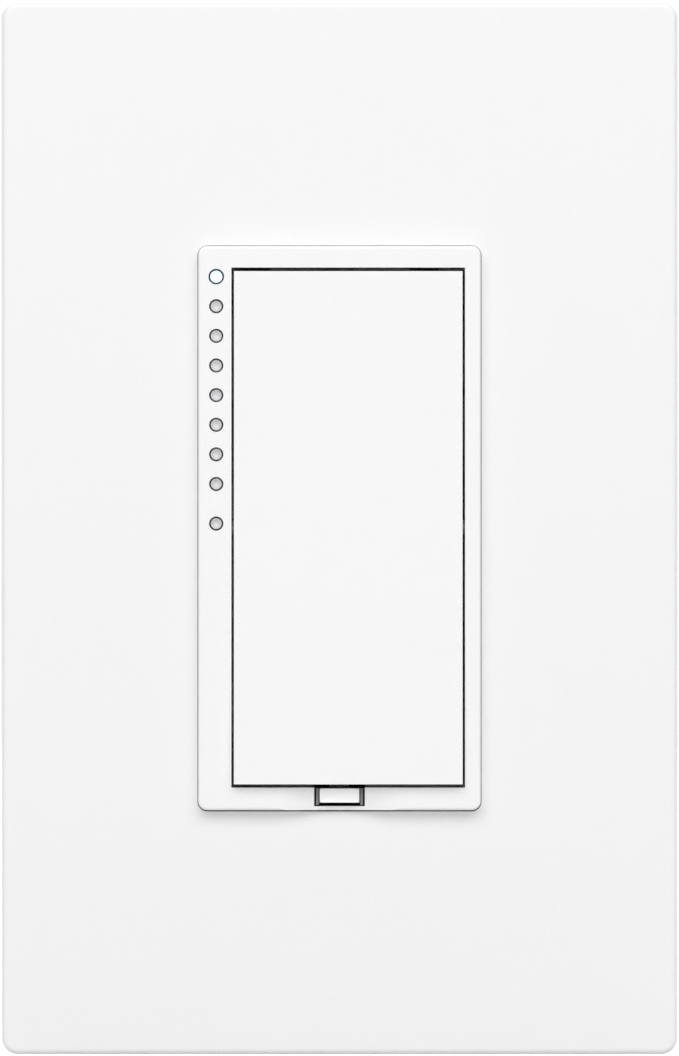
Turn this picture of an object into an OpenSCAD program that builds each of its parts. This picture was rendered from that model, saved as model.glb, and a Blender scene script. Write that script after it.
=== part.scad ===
// Smart dimmer switch with a screwless wall plate.
// +X is right, +Z is up and the front faces -Y. The wall's surface is the plane y = 0.
// The origin is midway between the two box screws.
// Depths are given from the wall's surface: those in front count towards -Y, those behind towards +Y.

/* [Wall plate] */
// Width of the cover plate
plate_w = 79.5; // [76:0.5:84]
// Height of the cover plate
plate_h = 123.9; // [120:0.1:130]
// How far the cover plate stands off the wall
plate_d = 6.2; // [5.8:0.1:7]
// Wall thickness of the cover plate
plate_wall = 2; // [1.4:0.1:2.2]
// Radius of the plate's four corners
plate_corner_r = 1.9; // [1.5:0.1:4]
// Radius of the plate's front edge
plate_edge_r = 0.7; // [0.6:0.1:1.4]
// Width of each snap ledge inside the plate
ledge_w = 12; // [8:1:20]
// How far a snap ledge reaches in
ledge_reach = 0.8; // [0.5:0.1:1]

/* [Adapter plate] */
// Thickness of the adapter plate
adapter_t = 2; // [1.6:0.1:2.4]
// Gap all round between the adapter and the cover plate's walls
adapter_gap = 0.3; // [0.2:0.05:0.6]
// Width of the adapter's raised rim
adapter_rim_w = 1.5; // [1:0.1:3]
// Radius of the openings over the box screws
box_screw_access_r = 5; // [4.5:0.1:6]

/* [Bezel] */
// Width of the trim frame
bezel_w = 33.2; // [33:0.1:34]
// Height of the trim frame
bezel_h = 66.3; // [66:0.1:68]
// How far the trim frame's face stands off the wall
bezel_front = 8; // [7.8:0.1:9]
// Gap at each side between the trim frame and the cover plate
bezel_gap = 0.1; // [0.1:0.05:0.4]
// Gap above the trim frame
bezel_gap_top = 0.1; // [0.05:0.05:0.4]
// Gap below the trim frame
bezel_gap_bottom = 0.2; // [0.1:0.05:0.4]
// Radius of the trim frame's corners
bezel_corner_r = 1.05; // [0.8:0.05:2]
// Radius of the trim frame's front edge
bezel_edge_r = 0.35; // [0.2:0.05:0.5]
// Width of the left rail, which carries the lamps
rail_left = 3.9; // [3.8:0.1:5]
// Width of the right rail
rail_right = 1.85; // [1.7:0.05:3]
// Height of the top rail
rail_top = 2.55; // [2.55:0.05:4]
// Height of the bottom rail
rail_bottom = 2.65; // [2.65:0.05:4]
// Half the width of the finger scoop in the bottom rail
scoop_half_w = 7.1; // [5:0.1:9]
// Depth of the finger scoop at its upper end
scoop_depth_top = 0.35; // [0.15:0.05:0.6]
// Depth of the finger scoop at the trim frame's lower edge
scoop_depth = 1.05; // [0.7:0.05:1.7]

/* [Paddle] */
// Gap at each side of the paddle
paddle_gap_x = 0.3; // [0.25:0.05:0.5]
// Gap above and below the paddle
paddle_gap_z = 0.42; // [0.4:0.02:0.6]
// Stand-off of the paddle's top edge from the wall
paddle_top_front = 7.9; // [7.7:0.1:9]
// Stand-off of the paddle's bottom edge from the wall
paddle_bottom_front = 9.2; // [8.5:0.1:10.5]
// Depth of the shallow hollow in the paddle's face
paddle_dish = 0.4; // [0.3:0.1:1]
// Thickness of the paddle's face at its thinnest
paddle_face_t = 1.2; // [1:0.1:1.6]
// Thickness of the paddle's side walls
paddle_wall = 1.4; // [1:0.1:1.8]
// Stand-off of the paddle's rear edge from the wall
paddle_back = 4.6; // [4.4:0.1:5]
// Stand-off of the paddle's pivot from the wall
pivot_front = 4.2; // [4:0.1:4.4]
// Radius of the pivot pins
pivot_r = 0.9; // [0.7:0.05:1]
// Length of a pivot pin inside its rail
pivot_engage = 0.55; // [0.4:0.05:0.6]
// Radius of the ear round each pivot pin
pivot_ear_r = 2; // [1.6:0.1:2.2]
// Greatest tilt of the paddle each way, in degrees
paddle_tilt = 2.2; // [1:0.1:2.4]

/* [Plungers] */
// Distance of each plunger from the paddle's pivot
plunger_reach = 20; // [16:0.5:22]
// Radius of a plunger
plunger_r = 1.4; // [1.2:0.05:1.6]
// Radius of a plunger's flange
flange_r = 2.5; // [2.3:0.1:2.7]
// Thickness of a plunger's flange
flange_t = 0.7; // [0.5:0.1:0.8]
// Gap between a plunger and the paddle's pad
plunger_gap = 0.1; // [0.08:0.01:0.2]
// Radius of a return spring, to the middle of its wire
spring_r = 2; // [1.9:0.05:2.1]
// Radius of the spring wire
spring_wire_r = 0.18; // [0.12:0.02:0.2]
// Turns in a return spring
spring_turns = 3; // [2:0.5:3]

/* [Lamps] */
// Distance from the trim frame's left edge to the lamp column
lamp_inset = 2.12; // [2.05:0.01:2.2]
// Distance from the trim frame's top to the first lamp
lamp_top = 3.62; // [3.5:0.02:4.5]
// Spacing of the lamps
lamp_pitch = 3.48; // [3.3:0.02:3.5]
// Lamps in the level column
lamp_count = 8; // [6:1:8]
// Distance from the last level lamp to the lone lamp under it
lamp_lone_gap = 4.65; // [4:0.05:5.5]
// Radius of a lamp's lens
lens_r = 0.64; // [0.5:0.02:0.68]
// Radius of the topmost lens
top_lens_r = 0.72; // [0.6:0.02:0.8]
// Width of the dark ring round each lens
lens_gap = 0.2; // [0.15:0.01:0.25]
// How deep the lenses sit below the trim frame's face
lens_recess = 0.25; // [0.1:0.05:0.4]
// Width of the light pipe's backing strip
pipe_w = 1.7; // [1.6:0.05:1.75]
// Thickness of the light pipe's backing strip
pipe_t = 1.2; // [1:0.1:1.6]
// Radius of the light pipe's legs
pipe_leg_r = 0.75; // [0.6:0.05:0.8]

/* [Set button] */
// Width of the slot in the bottom rail
slot_w = 5.95; // [5.8:0.05:7]
// Height of the slot in the bottom rail
slot_h = 2.2; // [2.1:0.05:2.2]
// Width of the button's lens
button_w = 4.65; // [4:0.05:4.7]
// Height of the button's lens
button_h = 1.66; // [1.4:0.01:1.68]
// Gap above the button
button_top_gap = 0.1; // [0.1:0.01:0.2]
// How deep the button's face sits below the trim frame's face
button_recess = 0.15; // [0:0.05:0.4]
// Travel of the button when it is pressed
button_press = 0.5; // [0.3:0.1:0.5]
// Travel of the slide when it is pulled out
slide_travel = 3.2; // [2:0.1:3.2]
// Thickness of the slide's cheeks beside the button
cheek_t = 0.32; // [0.3:0.01:0.45]
// Clearance between the button and the slide
button_fit = 0.12; // [0.06:0.01:0.12]

/* [Yoke] */
// Width of the mounting strap
yoke_w = 44; // [43:0.5:46]
// Height of the mounting strap
yoke_h = 105; // [104:0.5:110]
// Thickness of the mounting strap
yoke_t = 1.5; // [1.3:0.1:1.6]
// Thickness of the dark film on the strap behind the paddle
film_t = 0.15; // [0.1:0.05:0.2]
// Distance between the two box screws
box_screw_spacing = 83.34; // [83:0.01:84]
// Radius of the box screw holes
box_hole_r = 2.1; // [1.9:0.05:2.3]
// Distance between the two adapter screws
adapter_screw_spacing = 96.82; // [96:0.01:98]
// Radius of the adapter screws
adapter_screw_r = 1.65; // [1.4:0.05:1.8]

/* [Rear housing] */
// Width of the rear housing
housing_w = 44; // [43.5:0.1:46]
// Height of the rear housing
housing_h = 70; // [70:0.5:74]
// Depth of the rear housing behind the wall's surface
housing_d = 29; // [29:0.5:33]
// Wall thickness of the rear housing
housing_wall = 2; // [1.6:0.1:2]
// Width of the label's recess in the housing's back
label_w = 24; // [16:0.5:26]
// Height of the label's recess
label_h = 34; // [20:0.5:50]
// Depth of the label's recess
label_recess = 0.3; // [0.2:0.05:0.5]
// Radius of the housing's long edges
housing_corner_r = 2.5; // [1.5:0.1:3]
// Distance from the housing's inner walls to the middle of each housing screw
post_inset = 2.4; // [2.3:0.05:2.6]
// Outer radius of the posts round the housing screws
post_r = 2.2; // [2:0.05:2.25]
// Radius of the housing screws
housing_screw_r = 1.25; // [1:0.05:1.3]
// Clearance round each screw
screw_fit = 0.1; // [0.05:0.01:0.2]

/* [Boards] */
// Thickness of both circuit boards
board_t = 1.6; // [1.2:0.1:1.6]
// Depth of the front board behind the wall's surface
logic_depth = 6; // [5.8:0.1:6.6]
// Clear space between the two boards
board_space = 9.4; // [9.2:0.1:10]
// Gap between the boards and the housing's walls
board_gap = 0.4; // [0.3:0.1:0.6]
// Side of a push switch
tact_side = 4.5; // [4.2:0.1:5]
// Height of a push switch
tact_t = 3.4; // [3:0.1:3.6]
// Radius of a push switch's stem
stem_r = 1.5; // [1.3:0.05:1.6]
// Travel of a push switch's stem
stem_travel = 0.25; // [0.15:0.05:0.3]
// Running clearance round the stems, plungers and pivot pins
running_fit = 0.05; // [0.03:0.01:0.08]

/* [Parts on the boards] */
// Outer radius of the choke's core
choke_r = 7; // [6:0.1:7.4]
// Radius of the choke core's hole
choke_hole_r = 3.6; // [3:0.1:4]
// Thickness of the choke's core
choke_t = 5; // [4:0.1:5.4]
// Radius of the choke's wire
choke_wire_r = 0.4; // [0.3:0.05:0.45]
// Turns of wire on the choke
choke_turns = 20; // [12:1:22]
// Side of a terminal block
terminal_side = 7.6; // [7:0.1:8]
// Depth of a terminal block
terminal_d = 7; // [6:0.1:7.4]
// Radius of the hole that takes a wire
wire_hole_r = 1.5; // [1.2:0.05:1.6]
// Depth of the hole that takes a wire
wire_hole_d = 5; // [4:0.1:5.4]
// Radius of a terminal's clamp screw
clamp_screw_r = 0.9; // [0.7:0.05:1]

/* [Hidden] */
$fn = 48;
eps = 0.02;
touch = 0.03;

// Stations along Y, from front to back
plate_skin_y = -(plate_d - plate_wall);
adapter_y = -yoke_t - adapter_t;
carrier_t = 1.2;
board_front_y = logic_depth;
board_rear_y = logic_depth + board_t;
power_y = board_rear_y + board_space;
power_rear_y = power_y + board_t;
housing_floor_y = housing_d - housing_wall;

// The boards' half sizes and the housing screws' places
board_half_w = housing_w / 2 - housing_wall - board_gap;
board_half_h = housing_h / 2 - housing_wall - board_gap;
post_x = housing_w / 2 - housing_wall - post_inset;
post_z = housing_h / 2 - housing_wall - post_inset;

// The paddle's opening in the trim frame
open_x0 = -bezel_w / 2 + rail_left;
open_x1 = bezel_w / 2 - rail_right;
open_z0 = -bezel_h / 2 + rail_bottom;
open_z1 = bezel_h / 2 - rail_top;
paddle_x0 = open_x0 + paddle_gap_x;
paddle_x1 = open_x1 - paddle_gap_x;
paddle_z0 = open_z0 + paddle_gap_z;
paddle_z1 = open_z1 - paddle_gap_z;
paddle_x = (paddle_x0 + paddle_x1) / 2;
paddle_z = (paddle_z0 + paddle_z1) / 2;
paddle_h = paddle_z1 - paddle_z0;
rib_t = 1;
rib_h = 1.6;
pad_y = -paddle_back + 0.25;
pad_r = 2.6;

// The plungers, their springs and their guides
plunger_zs = [paddle_z + plunger_reach, paddle_z - plunger_reach];
plunger_travel = plunger_reach * sin(paddle_tilt);
plunger_front_y = pad_y + plunger_gap;
flange_front_y = plunger_front_y + 0.65;
flange_back_y = flange_front_y + flange_t;
guide_front_y = -1;
guide_r = 2.7;
stem_face_y = logic_depth - tact_t - 0.9;
stem_back_y = logic_depth - tact_t + 0.95;
plunger_back_y = stem_face_y - plunger_travel - touch;

// The lamps
lamp_x = -bezel_w / 2 + lamp_inset;
lamp_first_z = bezel_h / 2 - lamp_top;
lamp_lone_z = lamp_first_z - (lamp_count - 1) * lamp_pitch - lamp_lone_gap;
lamp_zs = concat([for (i = [0 : lamp_count - 1]) lamp_first_z - i * lamp_pitch], [lamp_lone_z]);
pipe_front_y = -bezel_front + 1.55;
led_t = 0.6;
led_w = 1.6;
led_h = 0.8;
led_gap = 0.2;

// The button and its slide
button_z = open_z0 - button_top_gap - button_h / 2;
button_y = -bezel_front + button_recess;
button_back_y = -3;
cheek_x = button_w / 2 + button_fit;
slide_half_w = cheek_x + cheek_t;
slide_z0 = open_z0 - slot_h + 0.15;
slide_z1 = open_z0 - 0.09;
tail_half_w = 1.2;
leg_in_x = tail_half_w + 0.25;
tact_set_z = slide_z1 + 0.4 + tact_side / 2;
foot_back_y = stem_face_y - button_press - touch;
crossbar_half_w = 5;
crossbar_y = board_rear_y + slide_travel + 0.4;
crossbar_t = 1.2;
bridge_t = 0.8;
contact_x = 3.8;
film_fit = 0.05;
window_half_w = slide_half_w + 0.3;
window_z0 = slide_z0 - 0.3;
window_z1 = tact_set_z + 1.6;

// The bezel's snap legs
leg_x = 10;
leg_w = 3;
leg_t = 1.2;
leg_edge = 0.1;
leg_z = max(open_z1, -open_z0) + leg_edge + leg_t;
hook_reach = 0.4;

// The triac, flat on the strap
triac_x = board_half_w - 6.3;
triac_w = 10.2;
triac_z0 = 4;
triac_body_h = 9.3;
triac_tab_h = 6.2;
triac_tab_t = 1.3;
triac_t = 4.5;
triac_hole_z = triac_z0 + triac_body_h + 3;
triac_screw_r = 1.4;
triac_lead_z = triac_z0 - 4.6;
triac_pitch = 2.54;
pad_t = 0.2;

// The terminals: sideways place and height of each
terminal_x = housing_w / 2 - housing_wall - 0.7 - terminal_side / 2;
terminal_z = 16;
bay_gap = 0.3;
clamp_y = power_rear_y + terminal_d / 2;
clamp_head_r = 2.2;
clamp_head_t = 1.6;

// The ground screw and the clamp under its head
ground_x = -15;
ground_drop = 9;
ground_z = -housing_h / 2 - ground_drop;
ground_clamp_half = 3.5;
ground_clamp_t = 1;
ground_screw_r = 1.65;
ground_head_r = 3.2;
ground_head_t = 2.2;

// The adapter's screws and its windows
countersink_r = 3.3;
countersink_d = 1.6;
adapter_opening_gap = 0.5;
adapter_window_w = 14;
adapter_window_h = 12;
adapter_window_r = 2;

// The strap's corners and the notches that leave its plaster ears
yoke_corner_r = 3;
ear_notch_w = 6;
ear_notch_h = 2.4;

// The step round the housing's back, and the pockets for its screws' heads
back_step = 1;
back_step_d = 1.5;
housing_head_r = 1.95;
housing_head_t = 1.1;
label_corner_r = 1;
pocket_r = 2.05;
pocket_d = 1.2;

// Parts on the front board: sizes, and places from the board's middle
mcu_side = 7;
mcu_t = 1;
mcu_x = 8;
mcu_z = 9.5;
radio_w = 14;
radio_h = 11.5;
radio_t = 2;
radio_x = -4;
radio_gap = 2.7;
radio_z = plunger_zs[1] + tact_side / 2 + radio_gap + radio_h / 2;
crystal_w = 5;
crystal_h = 3.2;
crystal_t = 1.2;
crystal_x = -0.5;
crystal_z = -4.4;
chip_pitch = 2.2;
resistor_w = 1.6;
resistor_h = 0.9;
resistor_t = 0.5;
capacitor_w = 2;
capacitor_h = 1.2;
capacitor_t = 0.9;
inner_row_x = -6.5;
outer_row_x = -9.5;
upper_row_z = 1;
lower_row_z = -board_half_h + 3.6;
connector_w = 2.4;
connector_h = 15;
connector_x = -board_half_w + 2.2;
connector_z = -4.5;

// Parts on the rear board: sizes, and places from the board's middle
film_w = 12;
film_h = 5.5;
film_d = 8.8;
film_x = 9;
film_z = 24.25;
can_r = 4;
can_d = 9;
can_x = board_half_w - 7.1;
can_z = -10;
varistor_r = 4.3;
varistor_t = 3.2;
varistor_x = 5.6;
varistor_z = -21;
fuse_r = 1.3;
fuse_w = 7;
fuse_x = board_half_w - 7.1;
fuse_z = -22;
core_w = 11;
core_h = 8;
core_d = 8.6;
core_x = -10;
core_z = -18;
core_side = 1.5;
core_middle = 3.2;
core_end = 1.6;
core_window_w = core_w / 2 - core_side - core_middle / 2;
winding_gap = 0.2;
winding_reach = 2;
rectifier_w = 5;
rectifier_h = 5;
rectifier_d = 2.6;
rectifier_x = 5.5;
rectifier_z = -6.5;
coupler_w = 4.6;
coupler_h = 6.5;
coupler_d = 3.5;
coupler_x = 0;
coupler_z = -9.75;

white = [0.96, 0.96, 0.96];
board_green = [0.1, 0.35, 0.2];

// A block between two opposite corners.
module block(low, high) {
    translate(low) cube(high - low);
}

// A round rod along Y from y0 to y1.
module rod_y(r, y0, y1, x = 0, z = 0) {
    translate([x, y0, z]) rotate([-90, 0, 0]) cylinder(r = r, h = y1 - y0);
}

// A round rod along X from x0 to x1.
module rod_x(r, x0, x1, y, z) {
    translate([x0, y, z]) rotate([0, 90, 0]) cylinder(r = r, h = x1 - x0);
}

// A cone along Y, of radius r0 at y0 and r1 at y1.
module cone_y(r0, r1, y0, y1, x = 0, z = 0) {
    translate([x, y0, z]) rotate([-90, 0, 0]) cylinder(r1 = r0, r2 = r1, h = y1 - y0);
}

// The flat outline under it, upright in XZ, made solid from y0 to y1.
module upright(y0, y1) {
    translate([0, y1, 0]) rotate([90, 0, 0]) linear_extrude(y1 - y0) children();
}

// A rectangle about the origin with true round corners.
module round_rect(w, h, r) {
    square([w - 2 * r, h], center = true);
    square([w, h - 2 * r], center = true);
    for (sx = [-1, 1], sy = [-1, 1]) {
        translate([sx * (w / 2 - r), sy * (h / 2 - r)]) circle(r);
    }
}

// The front layer of a panel, as thick as its rounded edge.
module soft_front(w, h, corner, edge, front_y) {
    profile = concat(
        [[0, 0], [corner, 0]],
        [for (a = [15 : 15 : 90]) [corner - edge + edge * cos(a), edge * sin(a)]],
        [[0, edge]]
    );
    translate([0, front_y + edge, 0]) rotate([90, 0, 0]) hull() {
        for (sx = [-1, 1], sy = [-1, 1]) {
            translate([sx * (w / 2 - corner), sy * (h / 2 - corner), 0])
                rotate_extrude($fn = 32) polygon(profile);
        }
    }
}

// One copy at each housing screw.
module at_posts() {
    for (sx = [-1, 1], sz = [-1, 1]) {
        translate([sx * post_x, 0, sz * post_z]) children();
    }
}

// A panhead screw along Y: the head starts at head_y and the shank runs to tip_y.
module pan_screw(r, head_r, head_t, head_y, tip_y) {
    facing = tip_y > head_y ? 1 : -1;
    difference() {
        union() {
            rod_y(r, min(head_y, tip_y), max(head_y, tip_y));
            rod_y(head_r, min(head_y, head_y - facing * head_t), max(head_y, head_y - facing * head_t));
        }
        cross_slot(head_r, head_y - facing * head_t, facing);
    }
}

// The cross in a screw's head, cut from the outer face at face_y.
module cross_slot(head_r, face_y, facing) {
    slot_d = 0.8;
    y0 = facing > 0 ? face_y - eps : face_y - slot_d;
    for (half = [[head_r * 0.62, 0.35], [0.35, head_r * 0.62]]) {
        block([-half[0], y0, -half[1]], [half[0], y0 + slot_d + eps, half[1]]);
    }
}

module wall_plate() {
    rim_w = plate_w - 2 * plate_wall;
    rim_h = plate_h - 2 * plate_wall;
    color(white) {
        difference() {
            union() {
                upright(-plate_d + plate_edge_r, 0) round_rect(plate_w, plate_h, plate_corner_r);
                soft_front(plate_w, plate_h, plate_corner_r, plate_edge_r, -plate_d);
            }
            upright(plate_skin_y, eps) square([rim_w, rim_h], center = true);
            translate([0, 0, (bezel_gap_top - bezel_gap_bottom) / 2]) upright(-plate_d - eps, 0)
                round_rect(
                    bezel_w + 2 * bezel_gap,
                    bezel_h + bezel_gap_top + bezel_gap_bottom,
                    bezel_corner_r + bezel_gap
                );
            // slot for a screwdriver, in the lower edge
            block([-3, -1.2, -plate_h / 2 - eps], [3, eps, -plate_h / 2 + plate_wall + eps]);
        }
        for (sx = [-1, 1], sz = [-1, 1]) {
            translate([sx * plate_w / 4, 0, 0]) mirror([0, 0, sz > 0 ? 0 : 1])
                snap_ledge(rim_h / 2);
        }
    }
}

// A wedge on the plate's inner wall, which grips behind the adapter's edge.
module snap_ledge(wall_z) {
    translate([-ledge_w / 2, 0, 0]) rotate([90, 0, 90]) linear_extrude(ledge_w)
        polygon([
            [-yoke_t, wall_z + eps], [-yoke_t, wall_z - ledge_reach],
            [-yoke_t + 0.4, wall_z - ledge_reach], [-0.3, wall_z + eps]
        ]);
}

module plate_adapter() {
    w = plate_w - 2 * plate_wall - 2 * adapter_gap;
    h = plate_h - 2 * plate_wall - 2 * adapter_gap;
    color([0.85, 0.85, 0.83]) difference() {
        union() {
            upright(adapter_y, -yoke_t) square([w, h], center = true);
            difference() {
                upright(plate_skin_y, -yoke_t) square([w, h], center = true);
                upright(plate_skin_y - eps, 0)
                    square([w - 2 * adapter_rim_w, h - 2 * adapter_rim_w], center = true);
            }
        }
        upright(plate_skin_y - eps, 0) round_rect(
            bezel_w + 2 * adapter_opening_gap,
            bezel_h + 2 * adapter_opening_gap,
            bezel_corner_r + adapter_opening_gap
        );
        for (sz = [-1, 1]) {
            rod_y(box_screw_access_r, -plate_d, 0, z = sz * box_screw_spacing / 2);
            rod_y(adapter_screw_r + screw_fit, -plate_d, 0, z = sz * adapter_screw_spacing / 2);
            translate([0, 0, sz * adapter_screw_spacing / 2])
                cone_y(
                    countersink_r + 2 * screw_fit,
                    adapter_screw_r + screw_fit,
                    adapter_y - eps,
                    adapter_y + countersink_d
                );
        }
        // lightening windows above and below
        for (sx = [-1, 1], sz = [-1, 1]) {
            translate([sx * (box_screw_access_r + w / 2) / 2, 0, sz * (bezel_h + h) / 4])
                upright(-plate_d, 0) round_rect(adapter_window_w, adapter_window_h, adapter_window_r);
        }
    }
}

module adapter_screws() {
    color("silver") for (sz = [-1, 1]) {
        translate([0, 0, sz * adapter_screw_spacing / 2]) difference() {
            union() {
                cone_y(countersink_r, adapter_screw_r, adapter_y + 0.05, adapter_y + countersink_d + 0.05);
                rod_y(adapter_screw_r, adapter_y + countersink_d, 3);
            }
            block([-countersink_r - 0.1, adapter_y, -0.4], [countersink_r + 0.1, adapter_y + 0.85, 0.4]);
        }
    }
}

module bezel() {
    color(white) {
        difference() {
            union() {
                upright(-bezel_front + bezel_edge_r, -yoke_t) round_rect(bezel_w, bezel_h, bezel_corner_r);
                soft_front(bezel_w, bezel_h, bezel_corner_r, bezel_edge_r, -bezel_front);
            }
            block([open_x0, -bezel_front - 1, open_z0], [open_x1, 0, open_z1]);
            block([-slot_w / 2, -bezel_front - 1, open_z0 - slot_h], [slot_w / 2, 0, open_z0 + eps]);
            finger_scoop();
            rod_x(
                pivot_r + running_fit,
                open_x0 - pivot_engage - 0.1,
                open_x1 + pivot_engage + 0.1,
                -pivot_front,
                paddle_z
            );
            for (i = [0 : len(lamp_zs) - 1]) {
                rod_y(lens_radius(i) + lens_gap, -bezel_front - 1, pipe_front_y + eps, lamp_x, lamp_zs[i]);
            }
            pipe_pocket();
        }
        for (sx = [-1, 1], sz = [-1, 1]) {
            translate([sx * leg_x, 0, 0]) mirror([0, 0, sz > 0 ? 0 : 1]) snap_leg();
        }
    }
}

// The scoop that lets a fingernail under the button. It deepens towards the trim frame's lower edge.
module finger_scoop() {
    steps = 24;
    reach = rail_bottom + 1;
    growth = 1 + (scoop_depth / scoop_depth_top - 1) * reach / rail_bottom;
    translate([0, -bezel_front, open_z0 + eps]) mirror([0, 0, 1])
        linear_extrude(height = reach, scale = [1, growth])
            polygon(concat(
                [for (i = [0 : steps]) let (side = 2 * i / steps - 1)
                    [side * scoop_half_w, scoop_depth_top * cos(90 * side)]],
                [[scoop_half_w, -scoop_depth_top], [-scoop_half_w, -scoop_depth_top]]
            ));
}

// The room behind the left rail for the light pipe's strip.
module pipe_pocket() {
    half = pipe_w / 2 + 0.05;
    block(
        [lamp_x - half, pipe_front_y, lamp_lone_z - 1.4],
        [lamp_x + half, 0, lamp_first_z + 1.4]
    );
}

// A leg with a hook, from the trim frame through the strap.
module snap_leg() {
    block([-leg_w / 2, -yoke_t - 1, leg_z - leg_t], [leg_w / 2, 1, leg_z]);
    translate([-leg_w / 2, 0, 0]) rotate([90, 0, 90]) linear_extrude(leg_w)
        polygon([
            [touch, leg_z - eps], [touch, leg_z + hook_reach],
            [0.35, leg_z + hook_reach], [1, leg_z - eps]
        ]);
}

function lens_radius(i) = i == 0 ? top_lens_r : lens_r;

module light_pipe() {
    color([0.85, 0.88, 0.9, 0.6]) {
        block(
            [lamp_x - pipe_w / 2, pipe_front_y, lamp_lone_z - 1.2],
            [lamp_x + pipe_w / 2, pipe_front_y + pipe_t, lamp_first_z + 1.2]
        );
        for (i = [0 : len(lamp_zs) - 1]) {
            rod_y(lens_radius(i), -bezel_front + lens_recess, pipe_front_y + eps, lamp_x, lamp_zs[i]);
            rod_y(pipe_leg_r, pipe_front_y, board_front_y - led_t - led_gap, lamp_x, lamp_zs[i]);
        }
    }
}

// Where the straight line from the paddle's top edge to its bottom edge stands at height z.
function chord_y(z) =
    -paddle_top_front - (paddle_bottom_front - paddle_top_front) * (paddle_z1 - z) / paddle_h;

// The paddle's face, which is dished a little behind that line.
function face_y(z) =
    let (from_mid = 2 * (z - paddle_z) / paddle_h)
    chord_y(z) + paddle_dish * (1 - from_mid * from_mid);

// The inside of the face, a flat slope.
function inner_y(z) = chord_y(z) + paddle_dish + paddle_face_t;

// A block across the paddle from x0 to x1, whose outline in YZ is given.
module slice_x(x0, x1, outline) {
    translate([x0, 0, 0]) rotate([90, 0, 90]) linear_extrude(x1 - x0) polygon(outline);
}

module paddle() {
    steps = 24;
    low = paddle_z0 + paddle_wall;
    high = paddle_z1 - paddle_wall;
    color(white) {
        difference() {
            slice_x(paddle_x0, paddle_x1, concat(
                [for (i = [0 : steps]) let (z = paddle_z0 + paddle_h * i / steps) [face_y(z), z]],
                [[-paddle_back, paddle_z1], [-paddle_back, paddle_z0]]
            ));
            slice_x(paddle_x0 + paddle_wall, paddle_x1 - paddle_wall,
                [[inner_y(low), low], [inner_y(high), high], [0, high], [0, low]]);
        }
        for (x = [paddle_x0, paddle_x1 - paddle_wall]) {
            rod_x(pivot_ear_r, x, x + paddle_wall, -pivot_front, paddle_z);
        }
        for (z = plunger_zs) {
            rod_y(pad_r, inner_y(z) - 0.3, pad_y, paddle_x, z);
        }
        for (side = [-1, 1]) {
            x = paddle_x + side * (paddle_x1 - paddle_x0) / 4;
            slice_x(x - rib_t / 2, x + rib_t / 2, [
                [inner_y(low) - eps, low - eps], [inner_y(high) - eps, high + eps],
                [inner_y(high) + rib_h, high + eps], [inner_y(low) + rib_h, low - eps]
            ]);
        }
        rod_x(pivot_r, paddle_x0 - paddle_gap_x - pivot_engage, paddle_x0 + 1, -pivot_front, paddle_z);
        rod_x(pivot_r, paddle_x1 - 1, paddle_x1 + paddle_gap_x + pivot_engage, -pivot_front, paddle_z);
    }
}

module plunger(z) {
    color([0.9, 0.9, 0.88]) translate([paddle_x, 0, z]) rotate([-90, 0, 0]) rotate_extrude()
        polygon([
            [0, plunger_front_y], [plunger_r - 0.8, plunger_front_y],
            [plunger_r, plunger_front_y + 0.4], [plunger_r, flange_front_y],
            [flange_r, flange_front_y], [flange_r, flange_back_y], [plunger_r, flange_back_y],
            [plunger_r, plunger_back_y], [0, plunger_back_y]
        ]);
}

module plunger_upper() { plunger(plunger_zs[0]); }
module plunger_lower() { plunger(plunger_zs[1]); }

// A round wire swept along points that follow a rule. Each point has its own side direction,
// which is never in line with the wire there.
module wire(path, side, r, faces, closed = false) {
    n = len(path);
    function at(i) = path[closed ? (i + n) % n : max(0, min(n - 1, i))];
    function unit(v) = v / norm(v);
    function ring(i) =
        let (t = unit(at(i + 1) - at(i - 1)), u = unit(cross(t, side[i])), v = cross(t, u))
        [for (k = [0 : faces - 1]) let (a = k * 360 / faces) path[i] + r * (cos(a) * u + sin(a) * v)];
    walls = [
        for (i = [0 : closed ? n - 1 : n - 2], k = [0 : faces - 1])
            let (j = (i + 1) % n, m = (k + 1) % faces)
            each [
                [i * faces + k, i * faces + m, j * faces + m],
                [i * faces + k, j * faces + m, j * faces + k]
            ]
    ];
    ends = closed ? [] : [
        [for (k = [faces - 1 : -1 : 0]) k],
        [for (k = [0 : faces - 1]) (n - 1) * faces + k]
    ];
    polyhedron([for (i = [0 : n - 1]) each ring(i)], concat(walls, ends), convexity = 8);
}

module return_spring(z) {
    y0 = flange_back_y + spring_wire_r + touch;
    y1 = guide_front_y - spring_wire_r - touch;
    steps = 16 * spring_turns;
    color("silver") wire(
        [for (i = [0 : steps]) [
            paddle_x + spring_r * cos(i * 360 / 16),
            y0 + (y1 - y0) * i / steps,
            z + spring_r * sin(i * 360 / 16)
        ]],
        [for (i = [0 : steps]) [0, 1, 0]],
        spring_wire_r,
        6
    );
}

module spring_upper() { return_spring(plunger_zs[0]); }
module spring_lower() { return_spring(plunger_zs[1]); }

module set_button() {
    tail_z0 = slide_z0 + 0.6;
    tail_z1 = button_z + button_h / 2;
    color([0.93, 0.93, 0.94]) {
        block(
            [-button_w / 2, button_y, button_z - button_h / 2],
            [button_w / 2, button_back_y, button_z + button_h / 2]
        );
        block([-tail_half_w, button_back_y - eps, tail_z0], [tail_half_w, foot_back_y, tail_z1]);
        block([-tail_half_w, foot_back_y - 1, tail_z0], [tail_half_w, foot_back_y, tact_set_z + 1.2]);
    }
}

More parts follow.
